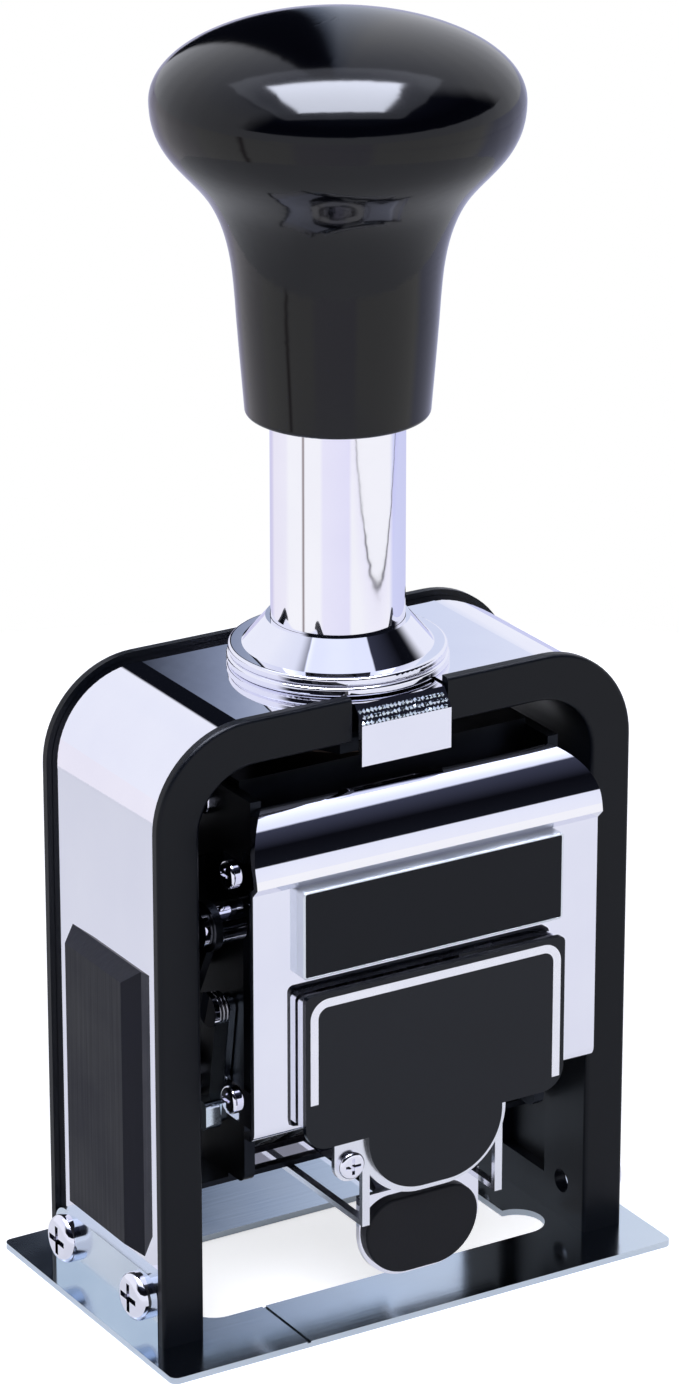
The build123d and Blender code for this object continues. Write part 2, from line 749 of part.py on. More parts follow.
with BuildPart() as front_cover:
    with BuildSketch(front(cover_front)):
        with Locations((0, cover_bottom)):
            Rectangle(cover_width, hood_joggle + cover_sheet / 2 - cover_bottom,
                      align=(Align.CENTER, Align.MIN))
    extrude(amount=-cover_sheet)
    for z in (lower_tab, upper_tab):
        for side in (-1, 1):
            with Locations((side * side_out, -cover_front, z)):
                Box(cover_sheet, cover_front - tab_end, tab_length,
                    align=(Align.MIN if side > 0 else Align.MAX, Align.MIN, Align.MIN))
    with Locations((0, -cover_front, cover_bottom)):
        Box(cover_width, foot_depth, cover_sheet, align=(Align.CENTER, Align.MIN, Align.MIN))
    fillet(front_cover.edges().group_by(Axis.Z)[0].sort_by(Axis.Y)[0], foot_bend)
    add(hood_sheet())
    with BuildSketch(front(hood_front)):
        with Locations((0, cover_bottom - overcut)):
            Rectangle(cover_opening_width, cover_opening_top - cover_bottom + overcut,
                      align=(Align.CENTER, Align.MIN))
        fillet(vertices().group_by(Axis.Y)[-1], opening_round)
    extrude(amount=-foot_depth - cover_sheet, mode=Mode.SUBTRACT)
    with Locations(*cover_screw_planes):
        Cylinder(small_screw_radius, case_screw_length, mode=Mode.SUBTRACT)
save(front_cover, "front_cover")

with BuildPart() as name_plate:
    with BuildSketch(front(cover_front)):
        with Locations((0, (plate_bottom + plate_top) / 2)):
            RectangleRounded(plate_width, plate_top - plate_bottom, plate_round)
    extrude(amount=plate_sheet)
save(name_plate, "name_plate")

cover_screw = pan_screw(small_head_radius, small_head, small_screw_radius, cover_sheet + side_sheet)
with BuildPart() as cover_screws:
    with Locations(*cover_screw_planes):
        add(cover_screw)
save(cover_screws, "cover_screws")

with BuildPart() as wheel_shaft:
    with Locations(Plane((0, 0, wheel_z), z_dir=(1, 0, 0))):
        Cylinder(shaft_radius, 2 * (side_out + clip_thickness + shaft_end))
    chamfer(wheel_shaft.edges().filter_by(GeomType.CIRCLE), shaft_end)
save(wheel_shaft, "wheel_shaft")


def shaft_rings(start, radius, thickness):
    """Two rings on the wheel shaft, one at each end, from a distance outwards."""
    with BuildPart(mode=Mode.PRIVATE) as rings:
        for side in (-1, 1):
            with BuildSketch(Plane.YZ.offset(side * start)):
                with Locations((0, wheel_z)):
                    Circle(radius)
                    Circle(shaft_radius, mode=Mode.SUBTRACT)
            extrude(amount=side * thickness)
    return rings.part


feed_inside = stack_end + clear + slip
bush_start = feed_inside + feed_arm + slip
with BuildPart() as shaft_clips:
    add(shaft_rings(side_out, clip_radius, clip_thickness))
save(shaft_clips, "shaft_clips")

with BuildPart() as shaft_bushes:
    add(shaft_rings(bush_start, bush_radius, case_half - bush_start))
save(shaft_bushes, "shaft_bushes")

slot_start = wheel_thickness + (wheel_pitch - wheel_thickness - finger_thickness) / 2
finger_starts = [stack_start + k * wheel_pitch + slot_start for k in range(wheel_count)]
with BuildPart() as detent_comb:
    with Locations((0, detent_place[0], detent_place[1])):
        Box(case_width, detent_bar, detent_bar)
    for x in finger_starts:
        with BuildSketch(Plane.YZ.offset(x)):
            link(detent_place, detent_tip, detent_leaf)
        extrude(amount=finger_thickness)
save(detent_comb, "detent_comb")

with BuildPart() as pivot_studs:
    for side in (-1, 1):
        steps = ((case_half, stud_thread_radius, side_sheet),
                 (side_out, sleeve_radius, cradle_half - cradle_sheet - slip - side_out),
                 (cradle_half - cradle_sheet - slip, pivot_radius, cradle_sheet + 2 * slip),
                 (cradle_half + slip, stud_head_radius, stud_head))
        for start, radius, length in steps:
            with BuildSketch(Plane.YZ.offset(side * start)):
                with Locations(cradle_pivot):
                    Circle(radius)
            extrude(amount=side * length)
save(pivot_studs, "pivot_studs")


# ---------------------------------------------------------------------------
# Number wheels with their ratchets
# ---------------------------------------------------------------------------

def number_wheel(start):
    """A wheel with its type blocks, from a place on the shaft towards +X."""
    with BuildPart(mode=Mode.PRIVATE) as wheel:
        with BuildSketch(Plane.YZ.offset(start)):
            with Locations((0, wheel_z)):
                Circle(wheel_radius - type_height)
                Circle(shaft_radius + running, mode=Mode.SUBTRACT)
        extrude(amount=wheel_thickness)
        with BuildSketch(Plane.YZ.offset(start + type_margin)):
            with Locations((0, wheel_z)):
                with PolarLocations(wheel_radius - 3 * type_height, type_rows, start_angle=-90):
                    Rectangle(3 * type_height, type_width, align=(Align.MIN, Align.CENTER))
        extrude(amount=wheel_thickness - 2 * type_margin)
    return wheel.part


def ratchet(start):
    """A ten-tooth ratchet from a place on the shaft towards +X."""
    corners = []
    for k in range(type_rows):
        angle = 2 * pi * k / type_rows
        for radius in (ratchet_radius, ratchet_radius - ratchet_depth):
            corners.append((radius * cos(angle), wheel_z + radius * sin(angle)))
    with BuildPart(mode=Mode.PRIVATE) as wheel:
        with BuildSketch(Plane.YZ.offset(start)):
            with BuildLine():
                Polyline(*corners, close=True)
            make_face()
            with Locations((0, wheel_z)):
                Circle(shaft_radius + running, mode=Mode.SUBTRACT)
        extrude(amount=ratchet_thickness)
    return wheel.part


for k in range(wheel_count):
    place = stack_start + k * wheel_pitch
    with BuildPart() as wheel:
        add(number_wheel(place))
    save(wheel, f"number_wheel_{k + 1}")
    with BuildPart() as teeth:
        add(ratchet(place + wheel_thickness))
    save(teeth, f"ratchet_{k + 1}")


# ---------------------------------------------------------------------------
# Feed: a swing on the wheel shaft carries the pawl
# ---------------------------------------------------------------------------

def feed_plane(x):
    """Across the shaft at x: local x points from the shaft to the pawl rod."""
    turn = radians(feed_rest)
    return Plane((x, 0, wheel_z), x_dir=(0, cos(turn), sin(turn)), z_dir=(1, 0, 0))


feed_bar_start = feed_radius + pawl_sleeve_radius + clear
feed_outside = feed_inside + feed_arm
with BuildPart() as feed_swing:
    for x in (-feed_outside, feed_inside):
        with BuildSketch(feed_plane(x)):
            link((0, 0), (feed_radius, 0), feed_arm_width)
            with Locations((feed_radius, 0)):
                Rectangle(feed_bar_start + feed_bar - feed_radius, feed_arm_width,
                          align=(Align.MIN, Align.CENTER))
                Circle(pawl_rod_radius, mode=Mode.SUBTRACT)
            Circle(shaft_radius + running, mode=Mode.SUBTRACT)
        extrude(amount=feed_arm)
    with BuildSketch(feed_plane(-feed_outside)):
        with Locations((feed_bar_start, 0)):
            Rectangle(feed_bar, feed_arm_width, align=(Align.MIN, Align.CENTER))
    extrude(amount=2 * feed_outside)
save(feed_swing, "feed_swing")

with BuildPart() as pawl_rod:
    with BuildSketch(feed_plane(-feed_outside)):
        with Locations((feed_radius, 0)):
            Circle(pawl_rod_radius)
    extrude(amount=2 * feed_outside)
save(pawl_rod, "pawl_rod")

tip_radius = ratchet_radius + pawl_clearance + pawl_width / 2
pawl_tip = (tip_radius * cos(radians(pawl_angle)), wheel_z + tip_radius * sin(radians(pawl_angle)))
with BuildPart() as feed_pawl:
    with BuildSketch(Plane.YZ.offset(stack_start)):
        with Locations(pawl_pivot):
            Circle(pawl_sleeve_radius)
    extrude(amount=stack_end - stack_start)
    for x in finger_starts:
        with BuildSketch(Plane.YZ.offset(x)):
            link(pawl_pivot, pawl_tip, pawl_width)
        extrude(amount=finger_thickness)
    with BuildSketch(Plane.YZ.offset(stack_start)):
        with Locations(pawl_pivot):
            Circle(pawl_rod_radius + running)
    extrude(amount=stack_end - stack_start, mode=Mode.SUBTRACT)
save(feed_pawl, "feed_pawl")


# ---------------------------------------------------------------------------
# Pad: a cradle hung on the pivot studs, with the shield on its bracket
# ---------------------------------------------------------------------------

with BuildPart() as pad_cradle:
    for side in (-1, 1):
        with BuildSketch(Plane.YZ.offset(side * (cradle_half - cradle_sheet))):
            points = (cradle_pivot, *arm_bends)
            for start, end in zip(points, points[1:]):
                link(start, end, arm_width)
            with Locations(((arm_bends[-1][0]), cradle_bottom)):
                Rectangle(arm_width, arm_bends[-1][1] - cradle_bottom, align=(Align.CENTER, Align.MIN))
            with Locations(cradle_pivot):
                Circle(pivot_boss)
                Circle(pivot_radius + running, mode=Mode.SUBTRACT)
        extrude(amount=side * cradle_sheet)
    with Locations((0, 0, cradle_bottom)):
        Box(2 * cradle_half, cradle_depth, cradle_floor, align=(Align.CENTER, Align.CENTER, Align.MIN))
    with Locations((0, cradle_depth / 2 - back_wall, cradle_bottom)):
        Box(cassette_width, back_wall, cradle_floor + pad_top - cassette_bottom - cassette_rim,
            align=(Align.CENTER, Align.MIN, Align.MIN))
    for side in (-1, 1):
        with Locations((side * (cassette_width / 2 + slip), 0, cradle_bottom)):
            Box(cradle_floor, cradle_depth, cradle_floor + cheek_height - cradle_sheet,
                align=(Align.MIN if side > 0 else Align.MAX, Align.CENTER, Align.MIN))
save(pad_cradle, "pad_cradle")


def shield_outline(half_width, low, tongue_half, tongue_low, top):
    """The shield's shape: a wide panel with a round-ended tongue below."""
    with BuildSketch(mode=Mode.PRIVATE) as outline:
        with Locations((0, low)):
            Rectangle(2 * half_width, top - low, align=(Align.CENTER, Align.MIN))
        fillet(outline.vertices().group_by(Axis.Y)[0], shield_corner)
        fillet(outline.vertices().group_by(Axis.Y)[-1], shield_top_corner)
        with BuildSketch(mode=Mode.PRIVATE) as tongue:
            with Locations((0, tongue_low)):
                Rectangle(2 * tongue_half, low + shield_corner - tongue_low, align=(Align.CENTER, Align.MIN))
            fillet(tongue.vertices().group_by(Axis.Y)[0], tongue_round)
        add(tongue.sketch)
    return outline.sketch


def trim_line():
    """The inlaid line along the shield's sides and top."""
    half = shield_width / 2 - trim_inset
    high = shield_top - trim_inset
    with BuildSketch(mode=Mode.PRIVATE) as line:
        with Locations((0, trim_right_bottom)):
            Rectangle(2 * half, high - trim_right_bottom, align=(Align.CENTER, Align.MIN))
        fillet(line.vertices().group_by(Axis.Y)[-1], shield_corner - trim_inset)
        with BuildSketch(mode=Mode.PRIVATE) as inside:
            with Locations((0, trim_right_bottom - overcut)):
                Rectangle(2 * (half - trim_width), high - trim_width - trim_right_bottom + overcut,
                          align=(Align.CENTER, Align.MIN))
            fillet(inside.vertices().group_by(Axis.Y)[-1], shield_corner - trim_inset - trim_width)
        add(inside.sketch, mode=Mode.SUBTRACT)
        with Locations((-half, trim_right_bottom)):
            Rectangle(2 * trim_width, trim_left_bottom - trim_right_bottom, align=(Align.CENTER, Align.MIN),
                      mode=Mode.SUBTRACT)
    return line.sketch


with BuildPart() as shield:
    with BuildSketch(front(shield_back)):
        add(shield_outline(shield_width / 2, shield_bottom, tongue_width / 2, tongue_bottom, shield_top))
    extrude(amount=shield_sheet)
    with BuildSketch(front(shield_back + shield_sheet - trim_depth)):
        add(trim_line())
    extrude(amount=trim_depth, mode=Mode.SUBTRACT)
save(shield, "shield")

with BuildPart() as shield_trim:
    with BuildSketch(front(shield_back + shield_sheet - trim_depth)):
        add(trim_line())
    extrude(amount=trim_depth + trim_stand)
save(shield_trim, "shield_trim")

shield_screw_plane = Plane((-shield_screw_x, -shield_back, shield_screw_z), z_dir=(0, -1, 0))
with BuildPart() as pad_bracket:
    with BuildSketch(front(shield_back)):
        with BuildSketch(mode=Mode.PRIVATE) as tongue_back:
            with Locations((0, tongue_bottom - lip)):
                Rectangle(tongue_width + 2 * lip, backing_low + overcut - tongue_bottom + lip,
                          align=(Align.CENTER, Align.MIN))
            fillet(tongue_back.vertices().group_by(Axis.Y)[0], tongue_round + lip)
        add(tongue_back.sketch)
        with Locations((-shield_screw_x, shield_screw_z)):
            Circle(ear_width / 2)
            Rectangle(ear_width, backing_low - shield_screw_z + overcut, align=(Align.CENTER, Align.MIN))
        for side in (-1, 1):
            with Locations((side * (prong_inner + prong_width / 2), bracket_bottom)):
                Rectangle(prong_width, backing_low - bracket_bottom, align=(Align.CENTER, Align.MIN))
    extrude(amount=-bracket_sheet)
    with BuildSketch(front(shield_back)):
        with Locations((0, backing_low)):
            Rectangle(shield_width, backing_high - backing_low, align=(Align.CENTER, Align.MIN))
        fillet(vertices().group_by(Axis.Y)[-1], shield_top_corner)
    extrude(amount=cover_front + backing_gap - shield_back)
    for side in (-1, 1):
        with Locations((side * (prong_inner + prong_width / 2), -bracket_front, bracket_bottom)):
            Box(prong_width, bracket_front + cradle_depth / 2, bracket_sheet,
                align=(Align.CENTER, Align.MIN, Align.MIN))
    with Locations(shield_screw_plane):
        Cylinder(small_screw_radius, 2 * case_screw_length, mode=Mode.SUBTRACT)
save(pad_bracket, "pad_bracket")

with BuildPart() as shield_screw:
    with Locations(shield_screw_plane):
        add(pan_screw(shield_screw_head, small_head, small_screw_radius, 2 * bracket_sheet))
save(shield_screw, "shield_screw")


def handle_outline(inset, top):
    """The pad handle's shape, a tab with round lower corners."""
    with BuildSketch(mode=Mode.PRIVATE) as outline:
        with Locations((0, handle_bottom + inset)):
            Rectangle(handle_width - 2 * inset, top - handle_bottom - inset, align=(Align.CENTER, Align.MIN))
        fillet(outline.vertices().group_by(Axis.Y)[0], handle_round - inset)
    return outline.sketch


with BuildPart() as pad_cassette:
    with Locations((0, 0, cassette_bottom)):
        Box(cassette_width, cassette_depth, pad_top - cassette_rim - cassette_bottom,
            align=(Align.CENTER, Align.CENTER, Align.MIN))
    with Locations((0, 0, pad_bottom)):
        Box(cassette_width - 2 * cassette_wall, cassette_depth - 2 * cassette_wall, pad_thickness,
            align=(Align.CENTER, Align.CENTER, Align.MIN), mode=Mode.SUBTRACT)
    with Locations((0, -handle_back - handle_sheet, cassette_bottom)):
        Box(neck_width, handle_back + handle_sheet - cassette_depth / 2, handle_sheet,
            align=(Align.CENTER, Align.MIN, Align.MIN))
    with BuildSketch(front(handle_back)):
        add(handle_outline(0, handle_top))
    extrude(amount=handle_sheet)
save(pad_cassette, "pad_cassette")

with BuildPart() as handle_pad:
    with BuildSketch(front(handle_back + handle_sheet)):
        add(handle_outline(grip_inset, handle_top - grip_band))
        fillet(vertices().group_by(Axis.Y)[-1], grip_shoulder)
    extrude(amount=handle_grip)
    fillet(handle_pad.faces().sort_by(Axis.Y)[0].edges(), handle_grip / 3)
save(handle_pad, "handle_grip")

with BuildPart() as ink_pad:
    with Locations((0, 0, pad_bottom)):
        Box(cassette_width - 2 * cassette_wall, cassette_depth - 2 * cassette_wall, pad_thickness,
            align=(Align.CENTER, Align.CENTER, Align.MIN))
save(ink_pad, "ink_pad")


# ---------------------------------------------------------------------------
# Repeat lever on the left side plate
# ---------------------------------------------------------------------------

lever_out = side_out + lever_stand + lever_sheet
with BuildPart() as repeat_lever:
    with BuildSketch(Plane.YZ.offset(-lever_out)):
        link(lever_pivot, lever_foot, lever_width)
        with Locations(lever_pivot):
            Circle(lever_screw_radius + running, mode=Mode.SUBTRACT)
    extrude(amount=lever_sheet)
    with BuildSketch(Plane.YZ.offset(-lever_out)):
        with Locations(lever_foot):
            RectangleRounded(lever_width, finger_height, lever_width / 4)
    extrude(amount=-lever_finger)
save(repeat_lever, "repeat_lever")

lever_head_start = cradle_half - cradle_sheet - 2 * slip - lever_head
with BuildPart() as lever_screw:
    for start, radius, length in ((case_half, lever_screw_radius, lever_head_start - case_half),
                                  (lever_head_start, lever_head_radius, lever_head)):
        with BuildSketch(Plane.YZ.offset(-start)):
            with Locations(lever_pivot):
                Circle(radius)
        extrude(amount=-length)
save(lever_screw, "lever_screw")

coil_length = lever_head_start - lever_out - coil_wire
with BuildPart() as lever_spring:
    with BuildLine() as coil:
        Helix(coil_length / coil_turns, coil_length, coil_radius,
              center=(-lever_out - coil_wire / 2, *lever_pivot), direction=(-1, 0, 0))
    with BuildSketch(Plane(origin=coil.line @ 0, z_dir=coil.line % 0)):
        Circle(coil_wire / 2)
    sweep(is_frenet=True)
save(lever_spring, "lever_spring")
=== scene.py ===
import math

import bmesh
import bpy
from mathutils import Matrix, Vector


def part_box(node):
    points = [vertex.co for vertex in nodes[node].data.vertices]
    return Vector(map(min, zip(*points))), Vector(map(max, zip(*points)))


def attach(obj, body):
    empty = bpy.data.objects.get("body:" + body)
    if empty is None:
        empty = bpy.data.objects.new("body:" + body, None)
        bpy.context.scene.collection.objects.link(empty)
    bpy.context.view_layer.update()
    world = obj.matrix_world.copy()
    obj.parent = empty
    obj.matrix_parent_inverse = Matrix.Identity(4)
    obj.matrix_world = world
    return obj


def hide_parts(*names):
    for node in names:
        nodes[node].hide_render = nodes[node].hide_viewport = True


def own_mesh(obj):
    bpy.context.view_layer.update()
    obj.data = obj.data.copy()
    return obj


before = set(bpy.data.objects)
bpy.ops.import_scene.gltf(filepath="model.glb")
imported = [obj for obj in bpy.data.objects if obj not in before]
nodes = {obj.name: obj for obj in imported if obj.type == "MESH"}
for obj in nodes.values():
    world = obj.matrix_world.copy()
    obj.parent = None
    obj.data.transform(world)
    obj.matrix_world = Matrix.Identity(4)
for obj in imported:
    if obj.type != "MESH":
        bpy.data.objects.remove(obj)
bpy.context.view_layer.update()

MM = 0.001
WHEELS = 6

# The view: where the camera stands, where it looks and how long its lens is
CAMERA_PLACE = Vector((-314.2, -520.4, 304.7)) * MM
CAMERA_TURN = math.radians(31.14)     # from the depth axis towards +X
CAMERA_DROP = math.radians(20.99)
CAMERA_LENS = 142.6                   # mm
CAMERA_SENSOR = 36                    # mm
CAMERA_CLIP = (0.05, 20)              # m

# The studio
TARGET = Vector((0, 0, 80)) * MM      # what the lamps point at
FLOOR_RADIUS = 0.222                  # a round table top: the tube above it mirrors the painted studio beyond
FLOOR_STEPS = 128
FLOOR_TONE = "E4E6EE"
FLOOR_ROUGHNESS = 0.9
FLOOR_LIFT = 0.66                     # added for the eye
FLOOR_GLOSSY_LIFT = 0.14              # added for polished metal, which sees it pale grey
AMBIENT = 0.34                        # soft light from all sides
KEY_TURN = math.radians(209)
KEY_RISE = math.radians(47)
LAMP_REACH = 0.95                     # m, of both lamps
KEY_SIZE = (0.80, 0.36)
KEY_POWER = 6.6
SIDE_TURN = math.radians(78)
SIDE_RISE = math.radians(30)
SIDE_SIZE = (0.5, 0.5)
SIDE_POWER = 1.6
# Painted reflections that polished surfaces see above the table, lighting nothing: the height and the tone of
# the painted wall behind the machine
WALL_REFLECTION = ((0.0, "F4F6FF"), (0.55, "F4F6FF"), (0.82, "E6EAFA"), (0.90, "6A7086"), (0.97, "0A0B10"))
# and of the painted wall in front of it
FRONT_WALL_REFLECTION = ((0.0, "F4F6FF"), (0.285, "F0F3FF"), (0.30, "14161D"), (0.62, "0B0C12"), (0.86, "3C3F50"),
              (0.95, "8A8EA6"))
# A painted reflection of a dark card in the wall behind, between two turns (radians from straight behind,
# clockwise)
CARD_REFLECTION = ((0.28, "FFFFFF"), (0.31, "101218"), (0.502, "101218"), (0.522, "8C96A8"), (0.545, "DCE4F2"),
        (0.62, "FFFFFF"))
WALL_BLEND = 0.15                     # the two walls blend over this share of depth either side of the middle
ABOVE_LEVEL = 0.2                     # the softbox shows only in directions that rise more than this
BELOW_LEVEL = -0.03                   # and what lies below the table's edge only in those that drop more
FIRST_BOUNCE = 1.5                    # the softbox shows in first reflections, not in reflections of those
LEAST_HEIGHT = 0.01                   # keeps the division by height finite near the level
OVERHEAD_TURN = math.radians(27)      # of the square softbox above the machine
OVERHEAD_PLACE = (0.02, 0.02)         # its middle and half its side, as shares of its height
OVERHEAD_HALF = 0.37
OVERHEAD_EDGE = 0.03
OVERHEAD_GLOW = 22.0                  # in reflections only; 1 is white
OVERHEAD_SKIRT = 0.63                 # half side of its white skirt
SKIRT_GLOW = 1.0
# Painted reflections of what lies below the table's edge, by turn (0 and 1 behind, 0.5 in front, clockwise
# from above)
BELOW_REFLECTION = ((0.0, "DAD6EE"), (0.10, "CFD2F2"), (0.285, "DADDF9"), (0.315, "FFFFFF"), (0.52, "FFFFFF"),
         (0.535, "EEECFD"), (0.655, "F3F1FE"), (0.672, "FFFFFF"), (0.746, "FFFFFF"), (0.7556, "6E5A58"),
         (0.765, "FFFFFF"), (0.84, "FFFFFF"), (0.86, "F7F5FC"), (0.97, "F4F1FA"), (1.0, "DAD6EE"))
# A painted reflection shows the dark edge of a curved sheet there: turn and height of its lowest point, and
# how fast its edge climbs, per square radian
SHEET_TURN = math.radians(-40)
SHEET_LOW = -0.3393
SHEET_CLIMB = 0.048
SHEET_REFLECTION = ((0.0, "FFFFFF"), (0.47, "F8F6FF"), (0.485, "1E1A26"), (0.515, "2A2632"), (0.53, "FFFFFF"),
         (1.0, "FFFFFF"))
SHEET_SPAN = 0.02                     # height either side of the edge that the tones cover


def linear(code, alpha=1.0):
    """An sRGB hex value as the linear colour a shader takes."""
    parts = [int(code[i:i + 2], 16) / 255 for i in (0, 2, 4)]
    return [p / 12.92 if p <= 0.04045 else ((p + 0.055) / 1.055) ** 2.4 for p in parts] + [alpha]


def add_node(tree, kind, inputs=None, **settings):
    """Add a node with its settings; an input takes a value or another node's output."""
    node = tree.nodes.new(kind)
    for name, value in settings.items():
        setattr(node, name, value)
    for key, value in (inputs or {}).items():
        if isinstance(value, bpy.types.NodeSocket):
            tree.links.new(value, node.inputs[key])
        else:
            node.inputs[key].default_value = value
    return node


# ---------------------------------------------------------------------------
# Camera, floor and light
# ---------------------------------------------------------------------------

def make_camera():
    data = bpy.data.cameras.new("view")
    data.sensor_width = CAMERA_SENSOR
    data.lens = CAMERA_LENS
    data.clip_start, data.clip_end = CAMERA_CLIP
    camera = bpy.data.objects.new("view", data)
    aim = Vector((math.sin(CAMERA_TURN) * math.cos(CAMERA_DROP),
                  math.cos(CAMERA_TURN) * math.cos(CAMERA_DROP), -math.sin(CAMERA_DROP)))
    camera.location = CAMERA_PLACE
    camera.rotation_mode = "QUATERNION"
    camera.rotation_quaternion = aim.to_track_quat("-Z", "Y")
    bpy.context.scene.collection.objects.link(camera)
    bpy.context.scene.camera = camera


def softbox(name, turn, rise, reach, size, power):
    """A flat lamp that faces the machine from a compass turn (0 behind it, clockwise) and a height angle."""
    data = bpy.data.lights.new(name, "AREA")
    data.shape = "RECTANGLE"
    data.size, data.size_y = size
    data.energy = power
    lamp = bpy.data.objects.new(name, data)
    away = Vector((math.sin(turn) * math.cos(rise), math.cos(turn) * math.cos(rise), math.sin(rise)))
    lamp.location = TARGET + away * reach
    lamp.rotation_mode = "QUATERNION"
    lamp.rotation_quaternion = (-away).to_track_quat("-Z", "Y")
    lamp.visible_glossy = False       # polished surfaces see the world's painted studio instead
    bpy.context.scene.collection.objects.link(lamp)


def make_world():
    """Even soft light; polished surfaces see painted reflections of a pale wall behind, a dark room in front,
    a softbox overhead.
    """
    world = bpy.data.worlds.new("studio")
    world.use_nodes = True
    tree = world.node_tree
    tree.nodes.clear()
    rays = add_node(tree, "ShaderNodeLightPath")
    where = add_node(tree, "ShaderNodeTexCoord")
    split = add_node(tree, "ShaderNodeSeparateXYZ", {"Vector": where.outputs["Generated"]})
    across, depth, height = (split.outputs[axis] for axis in "XYZ")
    turn = add_node(tree, "ShaderNodeMath", {0: across, 1: depth}, operation="ARCTAN2")
    card_reflection = tone_scale(tree, turn.outputs[0], CARD_REFLECTION)
    painted_wall = add_node(tree, "ShaderNodeMix", {0: 1.0, 6: tone_scale(tree, height, WALL_REFLECTION), 7: card_reflection},
                    data_type="RGBA", blend_type="MULTIPLY")
    behind = add_node(tree, "ShaderNodeMapRange", {"Value": depth, "From Min": -WALL_BLEND,
                                                   "From Max": WALL_BLEND},
                      interpolation_type="SMOOTHSTEP")
    painted_walls = add_node(tree, "ShaderNodeMix", {0: behind.outputs["Result"],
                                             6: tone_scale(tree, height, FRONT_WALL_REFLECTION),
                                             7: painted_wall.outputs[2]}, data_type="RGBA")
    below = add_node(tree, "ShaderNodeMath", {0: height, 1: BELOW_LEVEL}, operation="LESS_THAN")
    painted_room = add_node(tree, "ShaderNodeMix", {0: below.outputs[0], 6: painted_walls.outputs[2],
                                            7: studio_floor(tree, across, depth, height)}, data_type="RGBA")
    lifted = add_node(tree, "ShaderNodeMath", {0: height, 1: LEAST_HEIGHT}, operation="MAXIMUM")
    above = add_node(tree, "ShaderNodeCombineXYZ", {"X": lifted.outputs[0], "Y": lifted.outputs[0], "Z": 1.0})
    flat = add_node(tree, "ShaderNodeVectorMath", {0: where.outputs["Generated"], 1: above.outputs[0]},
                    operation="DIVIDE")
    square = add_node(tree, "ShaderNodeMapping", {"Vector": flat.outputs[0],
                                                  "Location": (*OVERHEAD_PLACE, 0),
                                                  "Rotation": (0, 0, -OVERHEAD_TURN)}, vector_type="TEXTURE")
    sides = add_node(tree, "ShaderNodeSeparateXYZ", {"Vector": square.outputs[0]})
    reach = [add_node(tree, "ShaderNodeMath", {0: sides.outputs[axis]}, operation="ABSOLUTE")
             for axis in "XY"]
    far = add_node(tree, "ShaderNodeMath", {0: reach[0].outputs[0], 1: reach[1].outputs[0]},
                   operation="MAXIMUM")
    up = add_node(tree, "ShaderNodeMath", {0: height, 1: ABOVE_LEVEL}, operation="GREATER_THAN")
    first = add_node(tree, "ShaderNodeMath", {0: rays.outputs["Glossy Depth"], 1: FIRST_BOUNCE},
                     operation="LESS_THAN")
    shares = []
    for half, gate, power in ((OVERHEAD_HALF, first, OVERHEAD_GLOW), (OVERHEAD_SKIRT, up, SKIRT_GLOW)):
        inside = add_node(tree, "ShaderNodeMapRange", {"Value": far.outputs[0], "From Min": half,
                                                       "From Max": half - OVERHEAD_EDGE, "To Max": power})
        shares.append(add_node(tree, "ShaderNodeMath", {0: inside.outputs["Result"], 1: gate.outputs[0]},
                               operation="MULTIPLY"))
    total = add_node(tree, "ShaderNodeMath", {0: shares[0].outputs[0], 1: shares[1].outputs[0]},
                     operation="ADD")
    glow = add_node(tree, "ShaderNodeMath", {0: total.outputs[0], 1: up.outputs[0]}, operation="MULTIPLY")
    softbox_light = add_node(tree, "ShaderNodeBackground", {"Color": linear("E9EEFF"),
                                                            "Strength": glow.outputs[0]})
    mirror = add_node(tree, "ShaderNodeBackground", {"Color": painted_room.outputs[2], "Strength": 1.0})
    both = add_node(tree, "ShaderNodeAddShader", {0: softbox_light.outputs[0], 1: mirror.outputs[0]})
    soft = add_node(tree, "ShaderNodeBackground", {"Color": linear("F4F6FF"), "Strength": AMBIENT})
    white = add_node(tree, "ShaderNodeBackground", {"Color": linear("FFFFFF"), "Strength": 1.0})
    # glossy rays see the painted reflections and the softbox glow; all other rays see the even soft light
    lit = add_node(tree, "ShaderNodeMixShader", {0: rays.outputs["Is Glossy Ray"], 1: soft.outputs[0],
                                                 2: both.outputs[0]})
    shown = add_node(tree, "ShaderNodeMixShader", {0: rays.outputs["Is Camera Ray"], 1: lit.outputs[0],
                                                   2: white.outputs[0]})
    add_node(tree, "ShaderNodeOutputWorld", {"Surface": shown.outputs[0]})
    bpy.context.scene.world = world


def studio_floor(tree, across, depth, height):
    """Painted reflections that polished metal sees below the table's edge: upright bands and the dark edge of
    a curved sheet.
    """
    back = [add_node(tree, "ShaderNodeMath", {0: axis, 1: -1.0}, operation="MULTIPLY")
            for axis in (across, depth)]
    turn = add_node(tree, "ShaderNodeMath", {0: back[0].outputs[0], 1: back[1].outputs[0]},
                    operation="ARCTAN2")
    share = add_node(tree, "ShaderNodeMapRange", {"Value": turn.outputs[0], "From Min": -math.pi,
                                                  "From Max": math.pi})
    aside = add_node(tree, "ShaderNodeMath", {0: turn.outputs[0], 1: SHEET_TURN}, operation="SUBTRACT")
    square = add_node(tree, "ShaderNodeMath", {0: aside.outputs[0], 1: 2.0}, operation="POWER")
    edge = add_node(tree, "ShaderNodeMath", {0: square.outputs[0], 1: SHEET_CLIMB, 2: SHEET_LOW},
                    operation="MULTIPLY_ADD")
    over = add_node(tree, "ShaderNodeMath", {0: height, 1: edge.outputs[0]}, operation="SUBTRACT")
    near = add_node(tree, "ShaderNodeMapRange", {"Value": over.outputs[0], "From Min": -SHEET_SPAN,
                                                 "From Max": SHEET_SPAN})
    both = add_node(tree, "ShaderNodeMix", {0: 1.0, 6: tone_scale(tree, share.outputs["Result"], BELOW_REFLECTION),
                                            7: tone_scale(tree, near.outputs["Result"], SHEET_REFLECTION)},
                    data_type="RGBA", blend_type="MULTIPLY")
    return both.outputs[2]


